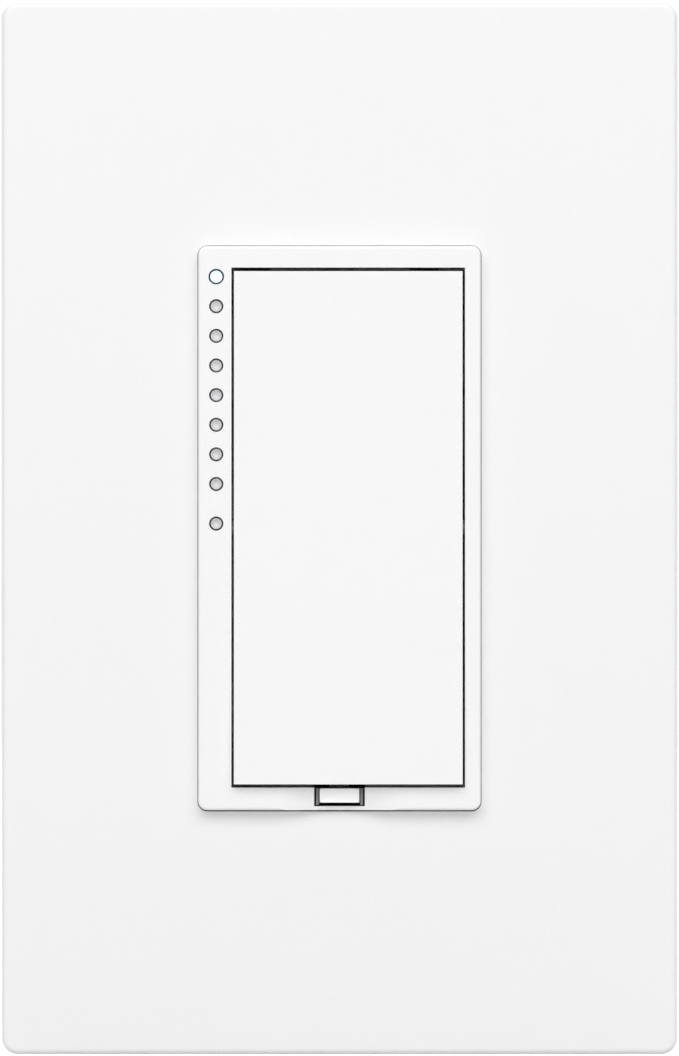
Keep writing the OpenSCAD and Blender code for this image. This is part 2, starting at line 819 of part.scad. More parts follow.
module air_gap_slide() {
    strap_y = -2;
    color([0.45, 0.45, 0.46]) {
        for (sx = [0, 1]) {
            mirror([sx, 0, 0]) {
                block([cheek_x, button_y + 0.9, slide_z0], [slide_half_w, strap_y + eps, slide_z1]);
                block([leg_in_x, strap_y, slide_z0], [slide_half_w, crossbar_y + eps, slide_z1]);
            }
        }
        block([-leg_in_x - eps, strap_y, slide_z0], [leg_in_x + eps, strap_y + 1.4, slide_z0 + 0.45]);
        block([-crossbar_half_w, crossbar_y, slide_z0], [crossbar_half_w, crossbar_y + crossbar_t, slide_z1]);
        rod_y(0.5, crossbar_y, crossbar_y + crossbar_t + bridge_t, z = (slide_z0 + slide_z1) / 2);
    }
}

module air_gap_bridge() {
    y = crossbar_y + crossbar_t;
    color("gold") difference() {
        block([-crossbar_half_w, y, slide_z0], [crossbar_half_w, y + bridge_t, slide_z1]);
        rod_y(0.55, y - 1, y + bridge_t + 1, z = (slide_z0 + slide_z1) / 2);
    }
}

module air_gap_contacts() {
    y = crossbar_y + crossbar_t + bridge_t + touch;
    color("gold") for (sx = [-1, 1]) {
        block([sx * contact_x - 1.1, y, slide_z0 + 0.1], [sx * contact_x + 1.1, power_y, slide_z1 - 0.1]);
    }
}

module yoke() {
    color([0.75, 0.76, 0.77]) difference() {
        upright(-yoke_t, 0) round_rect(yoke_w, yoke_h, yoke_corner_r);
        // notches that leave the plaster ears
        for (sx = [-1, 1], sz = [-1, 1]) {
            translate([sx * yoke_w / 2, 0, sz * (housing_h / 2 + 3)])
                upright(-yoke_t - eps, eps) round_rect(ear_notch_w, ear_notch_h, 1);
        }
        for (sz = [-1, 1]) {
            rod_y(box_hole_r, -yoke_t - eps, eps, z = sz * box_screw_spacing / 2);
            rod_y(adapter_screw_r + screw_fit, -yoke_t - eps, eps, z = sz * adapter_screw_spacing / 2);
        }
        for (z = plunger_zs) {
            rod_y(guide_r + 0.15, -yoke_t - eps, eps, paddle_x, z);
        }
        lamp_window();
        button_window();
        snap_windows();
        at_posts() rod_y(housing_screw_r + screw_fit, -yoke_t - eps, eps);
        rod_y(triac_screw_r + screw_fit, -yoke_t - eps, eps, triac_x, triac_hole_z);
        rod_y(ground_screw_r + screw_fit, -yoke_t - eps, eps, ground_x, ground_z);
    }
}

// A dark insulating film on the strap's front, inside the trim frame.
module strap_film() {
    color([0.08, 0.08, 0.08]) difference() {
        block(
            [open_x0 + film_fit, -yoke_t - film_t, open_z0 + film_fit],
            [open_x1 - film_fit, -yoke_t, open_z1 - film_fit]
        );
        for (z = plunger_zs) {
            rod_y(guide_r + 0.15, -yoke_t - film_t - eps, -yoke_t + eps, paddle_x, z);
        }
        block(
            [-window_half_w, -yoke_t - film_t - eps, open_z0 - 1],
            [window_half_w, -yoke_t + eps, window_z1]
        );
    }
}

// The slot for the light pipe's legs, through the strap and the carrier.
module lamp_window() {
    half = pipe_leg_r + 0.2;
    block(
        [lamp_x - half, -yoke_t - eps, lamp_lone_z - 1],
        [lamp_x + half, carrier_t + eps, lamp_first_z + 1]
    );
}

// The opening for the slide and the button's foot.
module button_window() {
    block([-window_half_w, -yoke_t - eps, window_z0], [window_half_w, carrier_t + eps, window_z1]);
}

// The openings for the trim frame's snap legs.
module snap_windows() {
    for (sx = [-1, 1], sz = [-1, 1]) {
        translate([sx * leg_x, 0, sz * (leg_z - leg_t / 2)])
            block(
                [-leg_w / 2 - 0.2, -yoke_t - eps, -leg_t / 2 - 0.12],
                [leg_w / 2 + 0.2, eps, leg_t / 2 + 0.12]
            );
    }
}

module carrier() {
    w = housing_w - 2 * housing_wall - board_gap;
    h = housing_h - 2 * housing_wall - board_gap;
    color([0.2, 0.2, 0.22]) difference() {
        union() {
            upright(0, carrier_t) square([w, h], center = true);
            for (z = plunger_zs) {
                rod_y(guide_r, guide_front_y, carrier_t, paddle_x, z);
            }
            at_posts() rod_y(post_r, 0, logic_depth);
        }
        for (z = plunger_zs) {
            rod_y(plunger_r + running_fit, guide_front_y - eps, carrier_t + eps, paddle_x, z);
        }
        at_posts() rod_y(housing_screw_r + screw_fit, -eps, logic_depth + eps);
        lamp_window();
        button_window();
        block([-window_half_w, -eps, -h / 2 - 1], [window_half_w, carrier_t + eps, window_z0 + eps]);
        for (sx = [-1, 1], sz = [-1, 1]) {
            translate([sx * leg_x, 0, sz * (h / 2 - 1)])
                block([-leg_w / 2 - 0.5, -eps, -2], [leg_w / 2 + 0.5, carrier_t + eps, 2]);
        }
        block(
            [triac_x - triac_w / 2 - 0.4, -eps, triac_lead_z - 1.6],
            [triac_x + triac_w / 2 + 0.4, carrier_t + eps, triac_z0 + triac_body_h + triac_tab_h + 0.4]
        );
    }
}

// A bare board with its screw holes and the notch round the slide, from depth y.
module board(y) {
    difference() {
        upright(y, y + board_t) square([2 * board_half_w, 2 * board_half_h], center = true);
        at_posts() rod_y(housing_screw_r + screw_fit, y - eps, y + board_t + eps);
        children();
    }
}

// The slot for the triac's leads.
module lead_slot() {
    half = triac_pitch + 1;
    block(
        [triac_x - half, logic_depth - 1, triac_lead_z - 0.8],
        [triac_x + half, board_rear_y + 1, triac_lead_z + 0.8]
    );
}

module logic_board() {
    color(board_green) board(logic_depth) {
        block(
            [-window_half_w, logic_depth - 1, -housing_h / 2],
            [window_half_w, board_rear_y + 1, slide_z1 + 0.3]
        );
        lead_slot();
    }
}

module power_board() {
    color(board_green) board(power_y);
}

// The body of a push switch, with the well that its stem slides in.
module tact(x, z) {
    y = logic_depth - tact_t;
    half = tact_side / 2;
    color([0.15, 0.15, 0.15]) difference() {
        block([x - half, y, z - half], [x + half, logic_depth, z + half]);
        rod_y(stem_r + running_fit, y - eps, stem_back_y + stem_travel + touch, x, z);
    }
}

module stem(x, z) {
    color([0.8, 0.2, 0.15]) rod_y(stem_r, stem_face_y, stem_back_y, x, z);
}

module tact_upper() { tact(paddle_x, plunger_zs[0]); }
module tact_lower() { tact(paddle_x, plunger_zs[1]); }
module tact_set() { tact(0, tact_set_z); }
module stem_upper() { stem(paddle_x, plunger_zs[0]); }
module stem_lower() { stem(paddle_x, plunger_zs[1]); }
module stem_set() { stem(0, tact_set_z); }

// A box-shaped part that stands on a board: its middle at x and z, its depth from y0 to y1.
module part_on_board(x, z, w, h, y0, y1) {
    block([x - w / 2, y0, z - h / 2], [x + w / 2, y1, z + h / 2]);
}

// A row of small chips on the front board's face, side by side along Z.
module chips(x, z0, count, w, h, t) {
    for (i = [0 : count - 1]) {
        part_on_board(x, z0 + i * chip_pitch, w, h, logic_depth - t, logic_depth);
    }
}

module indicator_leds() {
    color([0.95, 0.95, 0.85]) for (z = lamp_zs) {
        part_on_board(lamp_x, z, led_w, led_h, logic_depth - led_t, logic_depth);
    }
}

module microcontroller() {
    color([0.12, 0.12, 0.12])
        part_on_board(mcu_x, mcu_z, mcu_side, mcu_side, board_rear_y, board_rear_y + mcu_t);
}

module radio_module() {
    color([0.8, 0.8, 0.8])
        part_on_board(radio_x, radio_z, radio_w, radio_h, logic_depth - radio_t, logic_depth);
}

module crystal() {
    color("silver")
        part_on_board(crystal_x, crystal_z, crystal_w, crystal_h, board_rear_y, board_rear_y + crystal_t);
}

module chip_resistors() {
    color([0.1, 0.1, 0.12]) {
        chips(outer_row_x, upper_row_z, 8, resistor_w, resistor_h, resistor_t);
        chips(inner_row_x, lower_row_z, 5, resistor_w, resistor_h, resistor_t);
    }
}

module chip_capacitors() {
    color([0.6, 0.45, 0.3]) {
        chips(inner_row_x, upper_row_z, 8, capacitor_w, capacitor_h, capacitor_t);
        chips(outer_row_x, lower_row_z, 5, capacitor_w, capacitor_h, capacitor_t);
    }
}

module board_connector() {
    color([0.12, 0.12, 0.12])
        part_on_board(connector_x, connector_z, connector_w, connector_h, board_rear_y, power_y);
}

module board_spacers() {
    color([0.85, 0.85, 0.8]) at_posts() difference() {
        rod_y(post_r, board_rear_y, power_y);
        rod_y(housing_screw_r + screw_fit, board_rear_y - 1, power_y + 1);
    }
}

module thermal_pad() {
    h = triac_body_h + triac_tab_h;
    color([0.7, 0.75, 0.85]) difference() {
        block([triac_x - triac_w / 2, 0, triac_z0], [triac_x + triac_w / 2, pad_t, triac_z0 + h]);
        rod_y(triac_screw_r + screw_fit, -1, 1, triac_x, triac_hole_z);
    }
}

module triac() {
    z1 = triac_z0 + triac_body_h;
    color([0.15, 0.15, 0.16]) difference() {
        union() {
            block([triac_x - triac_w / 2, pad_t, triac_z0], [triac_x + triac_w / 2, pad_t + triac_t, z1]);
            block(
                [triac_x - triac_w / 2, pad_t, z1 - eps],
                [triac_x + triac_w / 2, pad_t + triac_tab_t, z1 + triac_tab_h]
            );
            for (i = [-1, 0, 1]) {
                x = triac_x + i * triac_pitch;
                block([x - 0.4, 2.4, triac_lead_z - 0.25], [x + 0.4, 2.9, triac_z0 + eps]);
                block([x - 0.4, 2.4, triac_lead_z - 0.25], [x + 0.4, power_y, triac_lead_z + 0.25]);
            }
        }
        rod_y(triac_screw_r + screw_fit, -1, 3, triac_x, triac_hole_z);
    }
}

module triac_screw() {
    color("silver") translate([triac_x, 0, triac_hole_z])
        pan_screw(triac_screw_r, 2.5, 1.8, pad_t + triac_tab_t, -yoke_t + 0.1);
}

// The choke stands on the rear board with its hole along Y.
choke_at = [-9.5, power_y - 3 * choke_wire_r - choke_t / 2, 12];

module choke_core() {
    color([0.3, 0.3, 0.32]) translate(choke_at) rotate([90, 0, 0]) difference() {
        cylinder(r = choke_r, h = choke_t, center = true);
        cylinder(r = choke_hole_r, h = choke_t + 1, center = true);
    }
}

// Each turn is a rounded box round the core's section; the whole wire is one closed loop.
module choke_winding() {
    off = choke_wire_r + 0.1;
    mid_r = (choke_r + choke_hole_r) / 2;
    half_r = (choke_r - choke_hole_r) / 2 + off;
    half_y = choke_t / 2 + off;
    per_turn = 8;
    corners = [for (k = [0 : per_turn - 1]) [
        half_r * [1, 1, 0, -1, -1, -1, 0, 1][k],
        half_y * [0, 1, 1, 1, 0, -1, -1, -1][k]
    ]];
    steps = choke_turns * per_turn;
    color([0.72, 0.4, 0.2]) translate(choke_at) wire(
        [for (i = [0 : steps - 1])
            let (c = corners[i % per_turn], a = i * 360 / steps)
            [(mid_r + c[0]) * cos(a), c[1], (mid_r + c[0]) * sin(a)]],
        [for (i = [0 : steps - 1]) let (a = i * 360 / steps) [-sin(a), 0, cos(a)]],
        choke_wire_r,
        6,
        true
    );
}

module film_capacitor() {
    color([0.85, 0.75, 0.2]) part_on_board(film_x, film_z, film_w, film_h, power_y - film_d, power_y);
}

module electrolytic_capacitor() {
    color([0.15, 0.2, 0.35]) rod_y(can_r, power_y - can_d, power_y, can_x, can_z);
}

module varistor() {
    half = varistor_t / 2;
    color([0.15, 0.35, 0.7])
        rod_x(varistor_r, varistor_x - half, varistor_x + half, power_y - varistor_r, varistor_z);
}

module fuse() {
    half = fuse_w / 2;
    color([0.75, 0.75, 0.7]) rod_x(fuse_r, fuse_x - half, fuse_x + half, power_y - fuse_r, fuse_z);
}

// The core stands on the board; its middle leg lies between two windows.
module transformer_core() {
    window_x = core_middle / 2 + core_window_w / 2;
    color([0.25, 0.25, 0.27]) difference() {
        part_on_board(core_x, core_z, core_w, core_h, power_y - core_d, power_y);
        for (side = [-1, 1]) {
            part_on_board(
                core_x + side * window_x, core_z, core_window_w, core_h + 1,
                power_y - core_d + core_end, power_y - core_end
            );
        }
    }
}

// The winding fills the windows and stands out above and below the core.
module transformer_winding() {
    y0 = power_y - core_d + core_end + winding_gap;
    y1 = power_y - core_end - winding_gap;
    color([0.85, 0.7, 0.2]) difference() {
        part_on_board(
            core_x, core_z,
            core_middle + 2 * (core_window_w - winding_gap), core_h + 2 * winding_reach,
            y0, y1
        );
        part_on_board(
            core_x, core_z, core_middle + 2 * winding_gap, core_h + 2 * winding_gap, y0 - 1, y1 + 1
        );
    }
}

module bridge_rectifier() {
    color([0.1, 0.1, 0.1])
        part_on_board(rectifier_x, rectifier_z, rectifier_w, rectifier_h, power_y - rectifier_d, power_y);
}

module optocoupler() {
    color([0.9, 0.9, 0.88])
        part_on_board(coupler_x, coupler_z, coupler_w, coupler_h, power_y - coupler_d, power_y);
}

// A terminal block with its wire hole from behind and its clamp screw from the side.
module terminal(sx, z) {
    half = terminal_side / 2;
    y0 = power_rear_y;
    y1 = power_rear_y + terminal_d;
    color([0.85, 0.7, 0.35]) translate([sx * terminal_x, 0, z]) difference() {
        block([-half, y0, -half], [half, y1, half]);
        rod_y(wire_hole_r, y1 - wire_hole_d, y1 + 1);
        rod_x(clamp_screw_r + screw_fit, min(0, sx * terminal_side), max(0, sx * terminal_side), clamp_y, 0);
    }
}

module terminal_line() { terminal(1, terminal_z); }
module terminal_load() { terminal(1, -terminal_z); }
module terminal_neutral() { terminal(-1, 0); }

module clamp_screw(sx, z) {
    face = terminal_side / 2;
    translate([sx * terminal_x, clamp_y, z]) mirror([sx > 0 ? 0 : 1, 0, 0]) difference() {
        union() {
            rod_x(clamp_screw_r, wire_hole_r + 0.1, face + eps, 0, 0);
            rod_x(clamp_head_r, face, face + clamp_head_t, 0, 0);
        }
        block(
            [face + clamp_head_t - 0.7, -clamp_head_r, -0.35],
            [face + clamp_head_t + 1, clamp_head_r, 0.35]
        );
    }
}

module terminal_screws() {
    color([0.8, 0.65, 0.3]) {
        clamp_screw(1, terminal_z);
        clamp_screw(1, -terminal_z);
        clamp_screw(-1, 0);
    }
}

module ground_clamp() {
    color([0.8, 0.65, 0.3]) difference() {
        part_on_board(ground_x, ground_z, 2 * ground_clamp_half, 2 * ground_clamp_half, 0, ground_clamp_t);
        rod_y(ground_screw_r + screw_fit, -1, ground_clamp_t + 1, ground_x, ground_z);
    }
}

module ground_screw() {
    color([0.1, 0.5, 0.25]) translate([ground_x, 0, ground_z])
        pan_screw(ground_screw_r, ground_head_r, ground_head_t, ground_clamp_t, -yoke_t);
}

// The bay that leaves a terminal open to the side and from behind.
module terminal_bay(sx, z) {
    half = terminal_side / 2 + bay_gap;
    mirror([sx > 0 ? 0 : 1, 0, 0])
        block([terminal_x - half, power_rear_y, z - half], [housing_w / 2 + 1, housing_d + 1, z + half]);
}

module rear_housing() {
    inner_w = housing_w - 2 * housing_wall;
    inner_h = housing_h - 2 * housing_wall;
    color([0.16, 0.16, 0.17]) difference() {
        union() {
            difference() {
                union() {
                    upright(0, housing_d - back_step_d) round_rect(housing_w, housing_h, housing_corner_r);
                    upright(0, housing_d) round_rect(
                        housing_w - 2 * back_step,
                        housing_h - 2 * back_step,
                        housing_corner_r - back_step
                    );
                }
                upright(-eps, housing_floor_y) square([inner_w, inner_h], center = true);
            }
            at_posts() rod_y(post_r, power_rear_y, housing_floor_y + eps);
        }
        at_posts() {
            rod_y(housing_screw_r + screw_fit, power_rear_y - 1, housing_d + 1);
            rod_y(pocket_r, housing_d - pocket_d, housing_d + 1);
        }
        upright(housing_d - label_recess, housing_d + 1) round_rect(label_w, label_h, label_corner_r);
        terminal_bay(1, terminal_z);
        terminal_bay(1, -terminal_z);
        terminal_bay(-1, 0);
    }
}

module housing_screws() {
    color("silver") at_posts()
        pan_screw(housing_screw_r, housing_head_r, housing_head_t, housing_d - pocket_d, -yoke_t + 0.1);
}

wall_plate();
plate_adapter();
adapter_screws();
bezel();
paddle();
light_pipe();
set_button();
air_gap_slide();
air_gap_bridge();
air_gap_contacts();
yoke();
strap_film();
carrier();
plunger_upper();
plunger_lower();
spring_upper();
spring_lower();
logic_board();
tact_upper();
tact_lower();
tact_set();
stem_upper();
stem_lower();
stem_set();
indicator_leds();
microcontroller();
radio_module();
crystal();
chip_resistors();
chip_capacitors();
board_connector();
board_spacers();
power_board();
triac();
thermal_pad();
triac_screw();
choke_core();
choke_winding();
film_capacitor();
electrolytic_capacitor();
varistor();
fuse();
transformer_core();
transformer_winding();
bridge_rectifier();
optocoupler();
terminal_line();
terminal_load();
terminal_neutral();
terminal_screws();
ground_clamp();
ground_screw();
rear_housing();
housing_screws();
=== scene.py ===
"""A white smart dimmer switch with a screwless cover plate, seen straight on in soft studio light.

Metres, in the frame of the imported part: +X right, +Z up, the front faces -Y, the wall is y = 0.
"""

import math

import bmesh
import bpy
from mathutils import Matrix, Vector


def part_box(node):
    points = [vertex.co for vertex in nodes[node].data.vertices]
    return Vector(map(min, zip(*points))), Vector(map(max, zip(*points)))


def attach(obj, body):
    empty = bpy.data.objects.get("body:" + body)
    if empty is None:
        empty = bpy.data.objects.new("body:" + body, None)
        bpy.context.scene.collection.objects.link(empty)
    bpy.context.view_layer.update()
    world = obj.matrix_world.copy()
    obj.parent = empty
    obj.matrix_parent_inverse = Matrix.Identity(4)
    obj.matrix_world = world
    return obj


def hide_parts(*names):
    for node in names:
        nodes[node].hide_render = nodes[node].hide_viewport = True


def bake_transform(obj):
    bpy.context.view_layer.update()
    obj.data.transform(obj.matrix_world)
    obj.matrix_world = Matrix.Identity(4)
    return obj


MM = 0.001

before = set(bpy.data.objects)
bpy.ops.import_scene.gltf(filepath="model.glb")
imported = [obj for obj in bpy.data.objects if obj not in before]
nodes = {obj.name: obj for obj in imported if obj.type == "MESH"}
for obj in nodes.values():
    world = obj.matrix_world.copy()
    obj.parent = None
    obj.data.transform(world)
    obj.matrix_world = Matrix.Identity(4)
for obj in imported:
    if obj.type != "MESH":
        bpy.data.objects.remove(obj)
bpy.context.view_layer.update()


# Camera, light and floor


def aim(obj, target):
    """Turns a lamp or camera so that it looks at target."""
    obj.rotation_euler = (Vector(target) - obj.location).to_track_quat("-Z", "Y").to_euler()


def make_camera(distance, focal_length):
    """A long lens straight in front of the switch."""
    lens = bpy.data.cameras.new("camera")
    lens.lens = focal_length
    lens.sensor_width = 36
    camera = bpy.data.objects.new("camera", lens)
    camera.location = (0, -distance, 0)
    aim(camera, (0, 0, 0))
    bpy.context.scene.collection.objects.link(camera)
    bpy.context.scene.camera = camera


def add_softbox(name, place, size, power):
    """A wide, even lamp that points at the middle of the switch."""
    lamp = bpy.data.lights.new(name, "AREA")
    lamp.shape = "RECTANGLE"
    lamp.size, lamp.size_y = size
    lamp.energy = power
    softbox = bpy.data.objects.new(name, lamp)
    softbox.location = place
    aim(softbox, (0, 0, 0))
    bpy.context.scene.collection.objects.link(softbox)


def strength_for_looking_rays(tree, otherwise, looked_at, socket):
    """Feeds a strength with looked_at for rays of sight, gloss and glass, and with otherwise for the rest."""
    path = tree.nodes.new("ShaderNodeLightPath")
    seen = path.outputs["Is Camera Ray"]
    for output in ("Is Glossy Ray", "Is Transmission Ray"):
        either = tree.nodes.new("ShaderNodeMath")
        either.operation = "MAXIMUM"
        tree.links.new(seen, either.inputs[0])
        tree.links.new(path.outputs[output], either.inputs[1])
        seen = either.outputs[0]
    strength = tree.nodes.new("ShaderNodeMapRange")
    strength.inputs["To Min"].default_value = otherwise
    strength.inputs["To Max"].default_value = looked_at
    tree.links.new(seen, strength.inputs["Value"])
    tree.links.new(strength.outputs["Result"], socket)


def make_world(dome_strength):
    """An even dome, which is seen as plain white."""
    world = bpy.data.worlds.new("studio")
    bpy.context.scene.world = world
    world.use_nodes = True
    background = world.node_tree.nodes["Background"]
    background.inputs["Color"].default_value = (1, 1, 1, 1)
    strength_for_looking_rays(world.node_tree, dome_strength, 1, background.inputs["Strength"])


def make_floor(height, half_width, lift):
    """A pale sheet that lifts to white where the light reaches it and keeps the shadows."""
    material, tree, shader = new_material("floor_pale", (0.62, 0.62, 0.62), 0.7)
    shader.inputs["Emission Color"].default_value = (1, 1, 1, 1)
    strength_for_looking_rays(tree, 0, lift, shader.inputs["Emission Strength"])
    sheet = bmesh.new()
    bmesh.ops.create_grid(sheet, x_segments=1, y_segments=1, size=half_width)
    bmesh.ops.translate(sheet, verts=sheet.verts, vec=(0, 0, height))
    mesh = bpy.data.meshes.new("floor")
    sheet.to_mesh(mesh)
    sheet.free()
    mesh.materials.append(material)
    floor = bpy.data.objects.new("floor", mesh)
    bpy.context.scene.collection.objects.link(floor)


# Shader node groups that several materials share


def new_group(name, inputs, outputs):
    """An empty node group. inputs maps names to default numbers; outputs maps names to socket types."""
    group = bpy.data.node_groups.new(name, "ShaderNodeTree")
    for label, value in inputs.items():
        socket = group.interface.new_socket(name=label, in_out="INPUT", socket_type="NodeSocketFloat")
        socket.default_value = value
    for label, kind in outputs.items():
        group.interface.new_socket(name=label, in_out="OUTPUT", socket_type=kind)
    return group, group.nodes.new("NodeGroupInput"), group.nodes.new("NodeGroupOutput")


def scale_from_size(group, size):
    """Turns the size of a pattern in mm into its scale, which is per metre."""
    scale = group.nodes.new("ShaderNodeMath")
    scale.operation = "DIVIDE"
    scale.inputs[0].default_value = 1 / MM
    group.links.new(size, scale.inputs[1])
    return scale.outputs[0]


def make_mould_grain():
    """The fine, even grain of moulded plastic and cast or plated metal, and slow changes of tone."""
    group, given, made = new_group(
        "mould_grain",
        {"Grain Size": 0.4, "Drift Size": 30},
        {"Height": "NodeSocketFloat", "Drift": "NodeSocketFloat"},
    )
    coordinates = group.nodes.new("ShaderNodeTexCoord")
    for socket, label, detail in (("Grain Size", "Height", 3), ("Drift Size", "Drift", 2)):
        noise = group.nodes.new("ShaderNodeTexNoise")
        noise.inputs["Detail"].default_value = detail
        group.links.new(coordinates.outputs["Object"], noise.inputs["Vector"])
        group.links.new(scale_from_size(group, given.outputs[socket]), noise.inputs["Scale"])
        group.links.new(noise.outputs["Fac"], made.inputs[label])
    return group


def make_brushed_lines():
    """Fine lines along Z, as a rolled and brushed strap has."""
    group, given, made = new_group(
        "brushed_lines",
        {"Line Width": 0.15, "Line Length": 12},
        {"Height": "NodeSocketFloat"},
    )
    coordinates = group.nodes.new("ShaderNodeTexCoord")
    stretch = group.nodes.new("ShaderNodeCombineXYZ")
    for socket, axes in (("Line Width", "XY"), ("Line Length", "Z")):
        scale = scale_from_size(group, given.outputs[socket])
        for axis in axes:
            group.links.new(scale, stretch.inputs[axis])
    scaled = group.nodes.new("ShaderNodeVectorMath")
    scaled.operation = "MULTIPLY"
    group.links.new(coordinates.outputs["Object"], scaled.inputs[0])
    group.links.new(stretch.outputs[0], scaled.inputs[1])
    noise = group.nodes.new("ShaderNodeTexNoise")
    noise.inputs["Scale"].default_value = 1
    noise.inputs["Detail"].default_value = 2
    group.links.new(scaled.outputs[0], noise.inputs["Vector"])
    group.links.new(noise.outputs["Fac"], made.inputs["Height"])
    return group


MOULD_GRAIN = make_mould_grain()
BRUSHED_LINES = make_brushed_lines()


# Materials


def new_material(name, colour, roughness, metallic=0.0):
    """A material with a Principled shader whose plain values are set on its own sockets."""
    material = bpy.data.materials.new(name)
    material.use_nodes = True
    shader = material.node_tree.nodes["Principled BSDF"]
    shader.inputs["Base Color"].default_value = (*colour, 1)
    shader.inputs["Roughness"].default_value = roughness
    shader.inputs["Metallic"].default_value = metallic
    return material, material.node_tree, shader


def place_group(tree, group, **values):
    """Places a node group in a material. Underscores in the names of values stand for spaces."""
    placed = tree.nodes.new("ShaderNodeGroup")
    placed.node_tree = group
    for label, value in values.items():
        placed.inputs[label.replace("_", " ")].default_value = value
    return placed


def bump_from(tree, shader, height, distance):
    bump = tree.nodes.new("ShaderNodeBump")
    bump.inputs["Distance"].default_value = distance
    tree.links.new(height, bump.inputs["Height"])
    tree.links.new(bump.outputs["Normal"], shader.inputs["Normal"])


def spread(tree, mask, low, high, socket):
    """Feeds a socket with a value that runs from low to high as the mask runs over its usual middle range."""
    ranged = tree.nodes.new("ShaderNodeMapRange")
    ranged.interpolation_type = "SMOOTHSTEP"
    ranged.inputs["From Min"].default_value = 0.3
    ranged.inputs["From Max"].default_value = 0.7
    ranged.inputs["To Min"].default_value = low
    ranged.inputs["To Max"].default_value = high
    tree.links.new(mask, ranged.inputs["Value"])
    tree.links.new(ranged.outputs["Result"], socket)


def tint(tree, mask, colour_a, colour_b, socket):
    """Feeds a socket with a colour that runs softly from one to another as the mask grows."""
    ramp = tree.nodes.new("ShaderNodeValToRGB")
    ramp.color_ramp.interpolation = "EASE"
    ramp.color_ramp.elements[0].position = 0.35
    ramp.color_ramp.elements[1].position = 0.65
    ramp.color_ramp.elements[0].color = (*colour_a, 1)
    ramp.color_ramp.elements[1].color = (*colour_b, 1)
    tree.links.new(mask, ramp.inputs["Fac"])
    tree.links.new(ramp.outputs["Color"], socket)


def moulded(name, colour, roughness, grain=0.4, depth=0.004, drift=0.03, gloss_drift=0.08):
    """Moulded plastic, card, rubber or ceramic: a fine grain, and slow changes of tone and gloss."""
    material, tree, shader = new_material(name, colour, roughness)
    texture = place_group(tree, MOULD_GRAIN, Grain_Size=grain, Drift_Size=18)
    bump_from(tree, shader, texture.outputs["Height"], depth * MM)
    change = texture.outputs["Drift"]
    duller, glossier = min(1, roughness * (1 + gloss_drift)), roughness * (1 - gloss_drift)
    spread(tree, change, glossier, duller, shader.inputs["Roughness"])
    paler = [min(1, c * (1 + drift)) for c in colour]
    deeper = [c * (1 - drift) for c in colour]
    tint(tree, change, deeper, paler, shader.inputs["Base Color"])
    return material


def metal(name, colour, roughness, grain=0.25, depth=0.003, brushed=False):
    """Plated, drawn or brushed metal."""
    material, tree, shader = new_material(name, colour, roughness, 1)
    texture = place_group(tree, MOULD_GRAIN, Grain_Size=grain, Drift_Size=9)
    height = texture.outputs["Height"]
    if brushed:
        lines = place_group(tree, BRUSHED_LINES, Line_Width=0.18, Line_Length=9)
        height = lines.outputs["Height"]
    bump_from(tree, shader, height, depth * MM)
    change = texture.outputs["Drift"]
    spread(tree, change, roughness * 0.8, min(1, roughness * 1.25), shader.inputs["Roughness"])
    worn = [c * 0.93 for c in colour]
    bright = [min(1, c * 1.05) for c in colour]
    tint(tree, change, worn, bright, shader.inputs["Base Color"])
    return material


EVEN = {"grain": 0.5, "drift": 0.0005, "gloss_drift": 0.02}  # the smooth white of the front

plate_white = moulded("plate_white", (0.9, 0.9, 0.9), 0.32, depth=0.0012, **EVEN)
frame_white = moulded("frame_white", (0.92, 0.92, 0.92), 0.28, depth=0.001, **EVEN)
adapter_grey = moulded("adapter_grey", (0.7, 0.7, 0.68), 0.5)
nylon = moulded("nylon", (0.82, 0.82, 0.78), 0.42)
black_plastic = moulded("black_plastic", (0.022, 0.022, 0.024), 0.5, grain=0.35, depth=0.02, drift=0.1)
slide_grey = moulded("slide_grey", (0.25, 0.25, 0.26), 0.42)
button_white = moulded("button_white", (0.95, 0.95, 0.96), 0.14, depth=0.0005, drift=0.01)
strap = metal("strap", (0.72, 0.73, 0.74), 0.36, depth=0.004, brushed=True)
screw_steel = metal("screw_steel", (0.62, 0.62, 0.6), 0.3)
spring_steel = metal("spring_steel", (0.5, 0.5, 0.52), 0.25)
brass = metal("brass", (0.72, 0.52, 0.24), 0.3)
green_steel = metal("green_steel", (0.03, 0.3, 0.1), 0.35)
chip_black = moulded("chip_black", (0.03, 0.03, 0.03), 0.55)
chip_tan = moulded("chip_tan", (0.45, 0.3, 0.18), 0.6)
can_tin = metal("can_tin", (0.66, 0.66, 0.64), 0.28)
stem_red = moulded("stem_red", (0.55, 0.06, 0.04), 0.5)
thermal = moulded("thermal", (0.42, 0.48, 0.58), 0.75)
ferrite = moulded("ferrite", (0.07, 0.07, 0.075), 0.6, grain=0.2, depth=0.02)
copper_wire = metal("copper_wire", (0.6, 0.22, 0.08), 0.25)
tape_yellow = moulded("tape_yellow", (0.75, 0.5, 0.05), 0.25)
case_yellow = moulded("case_yellow", (0.72, 0.56, 0.08), 0.45)
sleeve_blue = moulded("sleeve_blue", (0.03, 0.06, 0.2), 0.28)
disc_blue = moulded("disc_blue", (0.04, 0.12, 0.42), 0.4)
fuse_body = moulded("fuse_body", (0.72, 0.7, 0.64), 0.35)
lamp_clear = moulded("lamp_clear", (0.85, 0.8, 0.55), 0.2)
board_green = moulded("board_green", (0.02, 0.16, 0.06), 0.3)
label_foil = moulded("label_foil", (0.62, 0.63, 0.64), 0.35, grain=0.8, depth=0.002)
label_line = moulded("label_line", (0.12, 0.12, 0.13), 0.4, grain=0.8, depth=0.002)
# A real insulating film on the strap, made black to paint shade into the gaps around the paddle.
film_black = moulded("film_black", (0.012, 0.012, 0.013), 0.7, grain=0.5, depth=0.01, drift=0.1)
pipe_clear = moulded("pipe_clear", (0.68, 0.68, 0.69), 0.12, grain=0.6, depth=0.002, drift=0.02)


